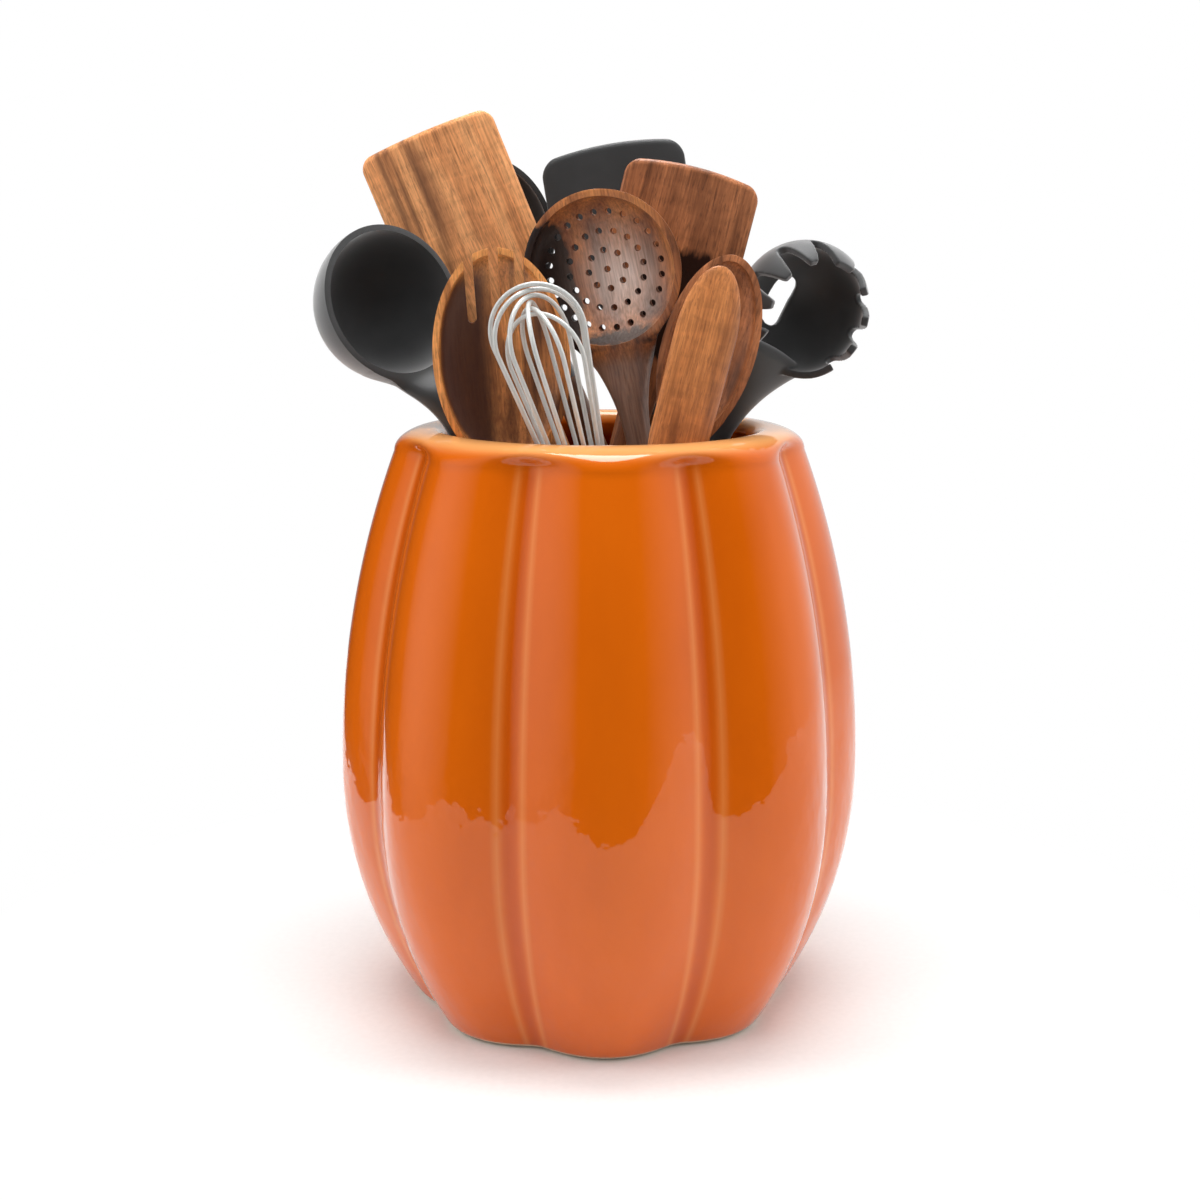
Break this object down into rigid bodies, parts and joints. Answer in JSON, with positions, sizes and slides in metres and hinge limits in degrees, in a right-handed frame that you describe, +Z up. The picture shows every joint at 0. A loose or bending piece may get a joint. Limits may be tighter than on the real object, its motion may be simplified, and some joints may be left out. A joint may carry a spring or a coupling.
{
  "type": "utensil crock with utensils",
  "caption": "Lobed, glossy orange stoneware crock with a rolled lip, holding wooden and soft-headed kitchen utensils and a wire whisk that each lift out.",
  "frame": {"origin": "centre of the crock's flat foot, on the surface it stands on", "axes": "+Z up along the crock's axis, -Y towards the front that the picture shows, +X to the right of that front"},
  "size_m": [0.1988, 0.1898, 0.3233],
  "materials": {
    "orange_glaze": "glossy",
    "charcoal_silicone": "matte",
    "handle_wood": "oiled",
    "acacia": "oiled",
    "walnut": "oiled",
    "steel": "satin",
    "potting_resin": "matte"
  },
  "bodies": {
    "crock": {"crock_body": "orange_glaze"},
    "ladle": {"ladle_head": "charcoal_silicone", "ladle_tang": "steel", "ladle_handle": "handle_wood"},
    "large_turner": {"large_turner": "acacia"},
    "black_spoon": {"black_spoon_head": "charcoal_silicone", "black_spoon_tang": "steel", "black_spoon_handle": "handle_wood"},
    "soft_turner": {"soft_turner_head": "charcoal_silicone", "soft_turner_tang": "steel", "soft_turner_handle": "handle_wood"},
    "dark_turner": {"dark_turner": "walnut"},
    "skimmer": {"skimmer": "acacia"},
    "slotted_spoon": {"slotted_spoon": "acacia"},
    "whisk": {"whisk_plug": "potting_resin", "whisk_ferrule": "steel", "whisk_handle": "handle_wood", "whisk_wire_1": "steel", "whisk_wire_2": "steel", "whisk_wire_3": "steel", "whisk_wire_4": "steel", "whisk_wire_5": "steel", "whisk_wire_6": "steel"},
    "narrow_spatula": {"narrow_spatula": "acacia"},
    "wooden_spoon": {"wooden_spoon": "walnut"},
    "pasta_server": {"pasta_server_head": "charcoal_silicone", "pasta_server_tang": "steel", "pasta_server_handle": "handle_wood"}
  },
  "joints": [
    {"name": "ladle_lift", "type": "slide", "parent": "crock", "child": "ladle", "axis": [-0.4188, -0.0068, 0.908], "range_m": [0, 0.227]},
    {"name": "large_turner_lift", "type": "slide", "parent": "crock", "child": "large_turner", "axis": [-0.3762, -0.0302, 0.926], "range_m": [0, 0.196]},
    {"name": "black_spoon_lift", "type": "slide", "parent": "crock", "child": "black_spoon", "axis": [-0.3902, -0.0202, 0.9205], "range_m": [0, 0.163]},
    {"name": "soft_turner_lift", "type": "slide", "parent": "crock", "child": "soft_turner", "axis": [-0.1613, 0.0408, 0.9861], "range_m": [0, 0.197]},
    {"name": "dark_turner_lift", "type": "slide", "parent": "crock", "child": "dark_turner", "axis": [0.2379, -0.061, 0.9694], "range_m": [0, 0.211]},
    {"name": "skimmer_lift", "type": "slide", "parent": "crock", "child": "skimmer", "axis": [-0.2046, -0.0239, 0.9786], "range_m": [0, 0.203]},
    {"name": "slotted_spoon_lift", "type": "slide", "parent": "crock", "child": "slotted_spoon", "axis": [-0.0699, -0.0781, 0.9945], "range_m": [0, 0.207]},
    {"name": "whisk_lift", "type": "slide", "parent": "crock", "child": "whisk", "axis": [-0.2727, -0.1076, 0.9561], "range_m": [0, 0.213]},
    {"name": "narrow_spatula_lift", "type": "slide", "parent": "crock", "child": "narrow_spatula", "axis": [0.2477, 0.1196, 0.9614], "range_m": [0, 0.186]},
    {"name": "wooden_spoon_lift", "type": "slide", "parent": "crock", "child": "wooden_spoon", "axis": [0.2773, 0.0369, 0.9601], "range_m": [0, 0.215]},
    {"name": "pasta_server_lift", "type": "slide", "parent": "crock", "child": "pasta_server", "axis": [0.4614, 0.0402, 0.8863], "range_m": [0, 0.223]}
  ]
}
